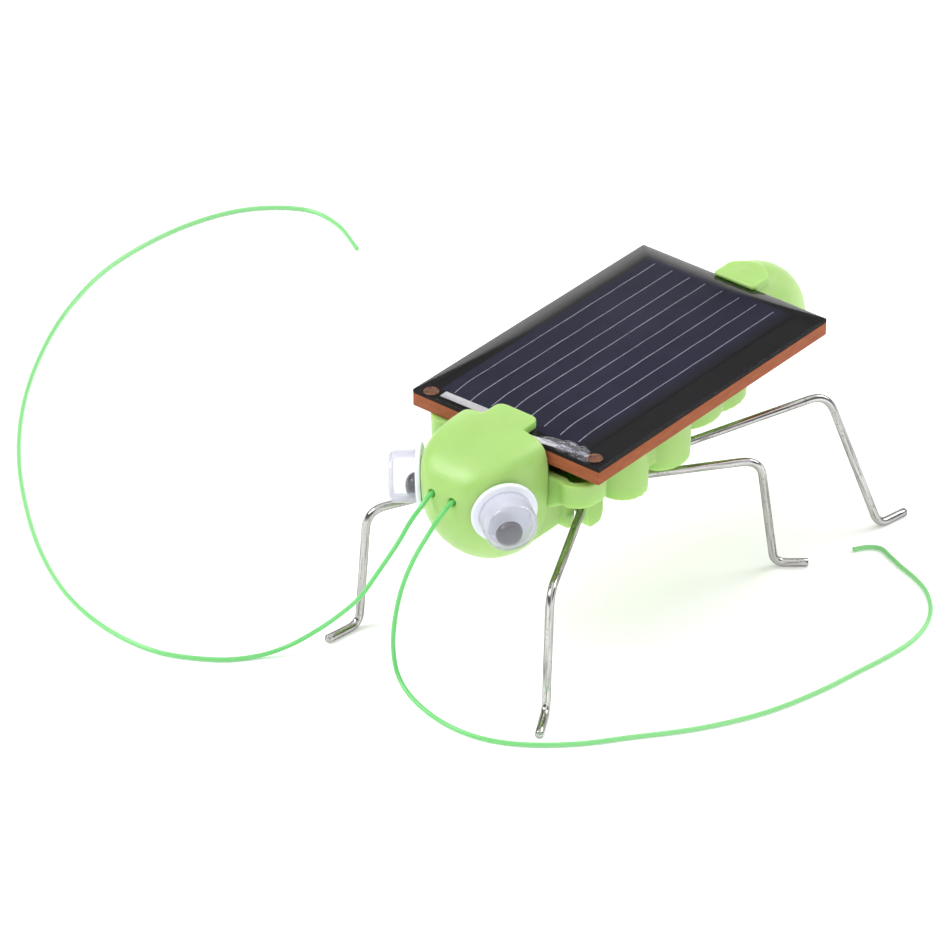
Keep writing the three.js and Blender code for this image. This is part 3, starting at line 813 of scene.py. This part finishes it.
def resin_coat(name):
    """The clear coat, domed towards its edges as a poured resin is, with a rippled face."""
    half = PANEL_WIDTH / 2 - COAT_INSET
    low = PANEL_Y - PANEL_LENGTH / 2 + COAT_INSET
    high = PANEL_Y + PANEL_LENGTH / 2 - COAT_INSET
    middle = (low + high) / 2
    columns = graded(-half, half, 56)
    rows = graded(low, high, 84)
    vertices = []
    for y in rows:
        for x in columns:
            side = max(0, x / half, (middle - y) / (middle - low)) ** 2 * COAT_GENTLE
            near = max(0, 1 - min(half + x, high - y) / COAT_STEEP["run"])
            sink = max(side, near ** COAT_STEEP["power"] * COAT_STEEP["drop"])
            across = math.sin(COAT_RIPPLE["across"] * x + COAT_RIPPLE["shift"])
            ripple = COAT_RIPPLE["high"] * across * math.sin(COAT_RIPPLE["along"] * y)
            vertices.append((x, y, COAT_TOP - sink + ripple))
    width = len(columns)
    faces = []
    for j in range(len(rows) - 1):
        for i in range(width - 1):
            a = j * width + i
            faces.append((a, a + 1, a + 1 + width, a + width))
    rim = list(range(width))
    rim += [j * width + width - 1 for j in range(1, len(rows))]
    rim += [(len(rows) - 1) * width + i for i in range(width - 2, -1, -1)]
    rim += [j * width for j in range(len(rows) - 2, 0, -1)]
    brim = len(vertices)
    vertices += [vertices[k] for k in rim]
    foot = len(vertices)
    vertices += [(vertices[k][0], vertices[k][1], COAT_FOOT) for k in rim]
    for k in range(len(rim)):
        n = (k + 1) % len(rim)
        faces.append((brim + n, brim + k, foot + k, foot + n))
    faces.append(tuple(foot + k for k in reversed(range(len(rim)))))
    return new_object(name, vertices, faces)


def edge_band(name):
    """The black ink round the board's edge: a wedge that is thick where the coat ends on it."""
    half = PANEL_WIDTH / 2 - INK_INSET
    reach = PANEL_LENGTH / 2 - INK_INSET
    low = BOARD_TOP + 0.01
    vertices = []
    for inset, z in ((0, low), (EDGE_BAND["wide"], low), (0, EDGE_BAND["top"])):
        for x, y in ((-1, -1), (1, -1), (1, 1), (-1, 1)):
            vertices.append((x * (half - inset), PANEL_Y + y * (reach - inset), z))
    faces = []
    for k in range(4):
        n = (k + 1) % 4
        faces += [(k, n, 8 + n, 8 + k), (8 + k, 8 + n, 4 + n, 4 + k), (n, k, 4 + k, 4 + n)]
    return new_object(name, vertices, faces, smooth=False)


def graded(low, high, count):
    """Numbers from low to high that lie closer together near both ends."""
    middle = (low + high) / 2
    return [middle - (high - middle) * math.cos(math.pi * i / count) for i in range(count + 1)]


# Silver lines on the cell: [x, front end].
SILVER_LINES = [
    (-8.15, -13.8),
    (-6.05, -14.0),
    (-4.0, -13.4),
    (-2.1, -12.4),
    (-0.05, -12.6),
    (1.95, -13.1),
    (4.0, -13.3),
    (6.1, -13.2),
]
LINE_BACK = 16.7
LINE = {"half": 0.05, "thick": 0.012, "bend": 3, "drift": 0.26}


def silver_line(name, x, front, z):
    """A thin printed line whose front end drifts a little to the side."""
    half = LINE["half"]
    bend = LINE["bend"]
    stations = list(np.linspace(LINE_BACK, front + bend, 12))
    stations += list(np.linspace(front + 2.6, front, 7))
    vertices = []
    for y in stations:
        drift = LINE["drift"] * max(0, 1 - (y - front) / bend) ** 1.6
        middle = x + drift + 0.02 * math.sin(y * 1.1 + x)
        for side in (-half, half):
            for height in (z, z + LINE["thick"]):
                vertices.append((middle + side, y, height))
    faces = [(0, 1, 3, 2)]
    for i in range(len(stations) - 1):
        a = i * 4
        b = a + 4
        faces += [(a, b, b + 1, a + 1), (a + 1, b + 1, b + 3, a + 3)]
        faces += [(a + 3, b + 3, b + 2, a + 2), (a + 2, b + 2, b, a)]
    last = 4 * (len(stations) - 1)
    faces.append((last, last + 2, last + 3, last + 1))
    return new_object(name, vertices, faces, smooth=False)


def strip(name, path, width, thick, twist):
    """A flat tin strip along a path. Each station turns by its own twist, in degrees."""
    vertices = []
    path = [Vector(p) for p in path]
    for i, point in enumerate(path):
        before = path[max(i - 1, 0)]
        after = path[min(i + 1, len(path) - 1)]
        along = (after - before).normalized()
        flat = along.cross(Vector((0, 0, 1))).normalized()
        turn = Matrix.Rotation(math.radians(twist[i]), 3, along)
        side = turn @ flat
        up = side.cross(along)
        for a, b in ((-1, -1), (1, -1), (1, 1), (-1, 1)):
            vertices.append(point + side * a * width / 2 + up * b * thick / 2)
    faces = [(3, 2, 1, 0)]
    for i in range(len(path) - 1):
        for k in range(4):
            a = i * 4 + k
            b = i * 4 + (k + 1) % 4
            faces.append((a, b, b + 4, a + 4))
    last = len(vertices) - 4
    faces.append((last, last + 1, last + 2, last + 3))
    piece = new_object(name, vertices, faces)
    bevel = piece.modifiers.new("edges", "BEVEL")
    bevel.width = thick * 0.3 * MM
    bevel.segments = 2
    return applied(piece)


def blob(name, centre, size, turn, seed, rough=0.12):
    """A small lump of set resin, its foot flat on the board."""
    rng = np.random.default_rng(seed)
    waves = rng.uniform(1.5, 4.5, (5, 3))
    phases = rng.uniform(0, 6.28, 5)
    rings = 14
    around = 24
    spin = Matrix.Rotation(math.radians(turn), 3, "Z")
    vertices = [Vector(centre) + Vector((0, 0, size[2]))]
    for j in range(1, rings + 1):
        tilt = math.pi / 2 * j / rings
        for k in range(around):
            angle = 2 * math.pi * k / around
            way = Vector(
                (math.sin(tilt) * math.cos(angle), math.sin(tilt) * math.sin(angle), math.cos(tilt))
            )
            swell = 1 + rough * sum(
                math.sin(waves[w][0] * way.x * 2 + waves[w][1] * way.y * 2 + phases[w])
                for w in range(5)
            ) * math.cos(tilt * 0.9)
            local = Vector((way.x * size[0], way.y * size[1], way.z * size[2])) * swell
            vertices.append(Vector(centre) + spin @ local)
    faces = [(0, 1 + k, 1 + (k + 1) % around) for k in range(around)]
    for j in range(rings - 1):
        for k in range(around):
            a = 1 + j * around + k
            b = 1 + j * around + (k + 1) % around
            faces.append((a, a + around, b + around, b))
    foot = 1 + (rings - 1) * around
    faces.append(tuple(foot + k for k in reversed(range(around))))
    return new_object(name, vertices, faces)


# Lumps of set resin over the left ribbon: [centre, size, turn in degrees, seed].
RESIN_LUMPS = [
    ((4.7, -15.0, 22.5), (1.3, 0.4, 0.34), 10, 3),
    ((6.4, -14.75, 22.5), (1.25, 0.55, 0.42), 12, 7),
    ((7.75, -14.65, 22.45), (0.9, 0.65, 0.42), 20, 11),
    ((6.2, -15.55, 22.4), (0.75, 0.32, 0.3), 5, 17),
    ((7.5, -15.5, 22.35), (0.6, 0.35, 0.3), -8, 23),
    ((8.7, -15.5, 22.3), (0.75, 0.42, 0.42), 0, 29),
]
RIBBON_THICK = 0.12
RIBBON_RIGHT = {"from": (-8.5, -14.7), "to": (-2.4, -14.55), "wide": 0.95, "lift": 0.13}
RIBBON_LEFT = {
    "route": [
        (2.5, -15.7, 22.42),
        (4.0, -15.5, 22.5),
        (5.6, -15.25, 22.5),
        (7.2, -14.95, 22.44),
        (8.7, -14.7, 22.4),
    ],
    "steps": 6,
    "wide": 0.6,
    "first_twist": 24,
    "last_twist": -6,
}
PAD = {"radius": 0.75, "thick": 0.24, "left": (9.35, -14.6), "right": (-9.61, -15.1)}


def add_board_and_cell(board_look, cell_look, resin_look, ink, silver):
    """The board, the cell with its silver lines, the ink at the edge and the clear coat."""
    half = PANEL_WIDTH / 2
    y0 = PANEL_Y - PANEL_LENGTH / 2
    y1 = PANEL_Y + PANEL_LENGTH / 2
    board = slab("board_look", -half, half, y0, y1, BOARD_BOTTOM, BOARD_TOP, 0.09)
    dress(board, board_look, ["panel_board"])
    dress(resin_coat("resin_look"), resin_look, ["panel_resin"])
    dress(edge_band("edge_band"), ink)
    x0, x1, y0, y1, top = (CELL[key] for key in ("x0", "x1", "y0", "y1", "top"))
    cell = slab("cell_look", x0, x1, y0, y1, BOARD_TOP + 0.01, top, 0.02)
    dress(cell, cell_look, ["solar_cell"])
    for i, (x, front) in enumerate(SILVER_LINES):
        line = silver_line(f"silver_line_{i}", x, front, top)
        dress(line, silver)


def add_ribbons(ribbon):
    """The flat ribbon on the right, and the twisted one on the left that carries the lumps."""
    height = BOARD_TOP + RIBBON_RIGHT["lift"]
    path = [(*RIBBON_RIGHT["from"], height), (*RIBBON_RIGHT["to"], height)]
    plain = strip("ribbon_right_look", path, RIBBON_RIGHT["wide"], RIBBON_THICK, (0, 0))
    dress(plain, ribbon, ["cell_ribbon_right"])
    path = smooth_path(RIBBON_LEFT["route"], RIBBON_LEFT["steps"])
    twist = np.linspace(RIBBON_LEFT["first_twist"], RIBBON_LEFT["last_twist"], len(path))
    shiny = strip("ribbon_left_look", path, RIBBON_LEFT["wide"], RIBBON_THICK, tuple(twist))
    dress(shiny, ribbon, ["cell_ribbon_left"])


def add_lumps(lump_look):
    """Set resin that was dripped over the left ribbon."""
    for i, (centre, size, turn, seed) in enumerate(RESIN_LUMPS):
        dress(blob(f"resin_lump_{i}", centre, size, turn, seed), lump_look)


def add_pads(copper):
    """The round copper pads, which stand on the board."""
    radius = PAD["radius"]
    thick = PAD["thick"]
    profile = rounded([(0, 0.0), (radius, 0.0), (radius, thick), (0, thick)], 0.04)
    for label in ("left", "right"):
        place = Matrix.Translation((*PAD[label], BOARD_TOP))
        upright = place @ Matrix.Rotation(math.pi / 2, 4, "X")
        pad = turned(f"copper_pad_{label}_look", profile, upright, 48)
        dress(pad, copper, [f"copper_pad_{label}"])


# ---------- stage ----------
FLOOR_REACH = 3000


def add_stage():
    """The plain white floor."""
    reach = FLOOR_REACH
    corners = [(-reach, -reach, 0), (reach, -reach, 0), (reach, reach, 0), (-reach, reach, 0)]
    floor = new_object("floor", corners, [(0, 1, 2, 3)])
    look, _, shader = new_material("floor")
    shader.inputs["Base Color"].default_value = (0.97, 0.97, 0.97, 1)
    shader.inputs["Roughness"].default_value = 0.9
    shader.inputs["Specular IOR Level"].default_value = 0.1
    shader.inputs["Emission Color"].default_value = (1, 1, 1, 1)
    shader.inputs["Emission Strength"].default_value = 0.22
    floor.data.materials.append(look)


# Sky brightness by height: [sine of the height, brightness].
SKY = [(0.0, 0.95), (0.1, 0.7), (0.22, 0.22), (0.5, 0.14), (0.64, 0.22), (0.78, 1.15), (1.0, 1.3)]


# A bright patch of the studio low behind the insect's right side, which the coat's edges mirror.
PATCH = Vector((-0.65, 0.75, 0.1)).normalized()
PATCH_FADE = [(0.90, 0.0), (0.94, 0.25), (0.975, 1.1), (1.0, 1.7)]


def greys(stops):
    """Ramp stops from pairs of place and brightness."""
    return [(place, (value,) * 3) for place, value in stops]


def add_sky():
    """A studio whose walls are dark above the white sweep and bright overhead."""
    world = bpy.data.worlds.new("studio")
    bpy.context.scene.world = world
    world.use_nodes = True
    tree = world.node_tree
    background = tree.nodes["Background"]
    coordinates = tree.nodes.new("ShaderNodeTexCoord")
    parts = tree.nodes.new("ShaderNodeSeparateXYZ")
    tree.links.new(coordinates.outputs["Generated"], parts.inputs[0])
    sky = ramp(tree, parts.outputs["Z"], greys(SKY))
    nearness = tree.nodes.new("ShaderNodeVectorMath")
    nearness.operation = "DOT_PRODUCT"
    nearness.inputs[1].default_value = PATCH
    tree.links.new(coordinates.outputs["Generated"], nearness.inputs[0])
    patch = ramp(tree, nearness.outputs["Value"], greys(PATCH_FADE))
    both = tree.nodes.new("ShaderNodeVectorMath")
    both.operation = "ADD"
    tree.links.new(sky.outputs[0], both.inputs[0])
    tree.links.new(patch.outputs[0], both.inputs[1])
    tree.links.new(both.outputs[0], background.inputs[0])
    background.inputs[1].default_value = 1.0


def add_light(name, place, size, power):
    """A soft square light that faces the origin. The power is in watts."""
    light = bpy.data.lights.new(name, "AREA")
    light.size = size * MM
    light.energy = power
    lamp = bpy.data.objects.new(name, light)
    bpy.context.scene.collection.objects.link(lamp)
    lamp.location = Vector(place) * MM
    lamp.rotation_euler = lamp.location.to_track_quat("Z", "Y").to_euler()


# ---------- assembly ----------
def main():
    """The camera and the cords first, then the rest of the insect and the studio."""
    bpy.context.scene.view_settings.view_transform = "Standard"
    add_camera()
    add_antennae(antenna_material())

    green = plastic("lime_plastic", (0.375, 0.61, 0.175), (0.355, 0.58, 0.16), 0.40, 0.6)
    white = plastic("white_plastic", (0.83, 0.87, 0.94), (0.80, 0.84, 0.91), 0.25, 0.1)
    steel = wire_steel()
    tin = metal("tinned_ribbon", (0.86, 0.82, 0.81), (0.78, 0.74, 0.73), 0.5)
    ribbon = metal("dull_ribbon", (0.90, 0.89, 0.89), (0.82, 0.81, 0.81), 0.4, bareness=0.4)
    silver = metal("silver_line", (0.66, 0.66, 0.72), (0.54, 0.54, 0.60), 0.5)
    copper = metal("copper", (0.62, 0.30, 0.18), (0.42, 0.18, 0.10), 0.35)
    brass = metal("brass", (0.72, 0.56, 0.28), (0.6, 0.45, 0.2), 0.3)
    red = plastic("red_insulation", (0.55, 0.03, 0.03), (0.46, 0.02, 0.02), 0.45)
    blue = plastic("blue_insulation", (0.03, 0.08, 0.45), (0.02, 0.06, 0.37), 0.45)
    magnet = metal("magnet", (0.12, 0.12, 0.13), (0.07, 0.07, 0.08), 0.5)
    resin = clear("clear_resin", (0.93, 0.93, 0.94), 0.05)
    lump = clear("resin_lump", (0.72, 0.72, 0.78), 0.08, 1.5, 0.08)
    glassy = clear("clear_dome", (0.98, 0.98, 0.99), 0.04, 1.45, 0.06, 0.5, (0.72, 0.72, 0.80))

    add_legs(steel)
    add_eyes(white, glassy, pupil_material())
    ink = plastic("black_ink", (0.013, 0.012, 0.013), (0.011, 0.010, 0.011), 0.6, shine=0.12)
    add_board_and_cell(board_material(), cell_material(), resin, ink, silver)
    add_ribbons(ribbon)
    add_lumps(lump)
    add_pads(copper)
    for node, voxel, rounds in (("body_frame", 0.14, 5), ("head_shell", 0.12, 6)):
        dress(moulded(node, node + "_look", voxel, rounds), green, [node])

    nodes = frame["nodes"]
    for name, look in {
        "motor_can": tin,
        "motor_end_cap": white,
        "motor_magnet": magnet,
        "motor_coil": copper,
        "motor_shaft": tin,
        "eccentric_weight": brass,
        "lead_red": red,
        "lead_blue": blue,
        "solder_joint_left": tin,
        "solder_joint_right": tin,
    }.items():
        nodes[name].data.materials.clear()
        nodes[name].data.materials.append(look)

    add_stage()
    add_sky()
    add_light("key", (-450, -420, 650), 420, 4.6)
    add_light("fill", (600, -260, 260), 500, 0.8)
    add_light("back", (250, 650, 500), 500, 3)


main()
bpy.context.view_layer.update()
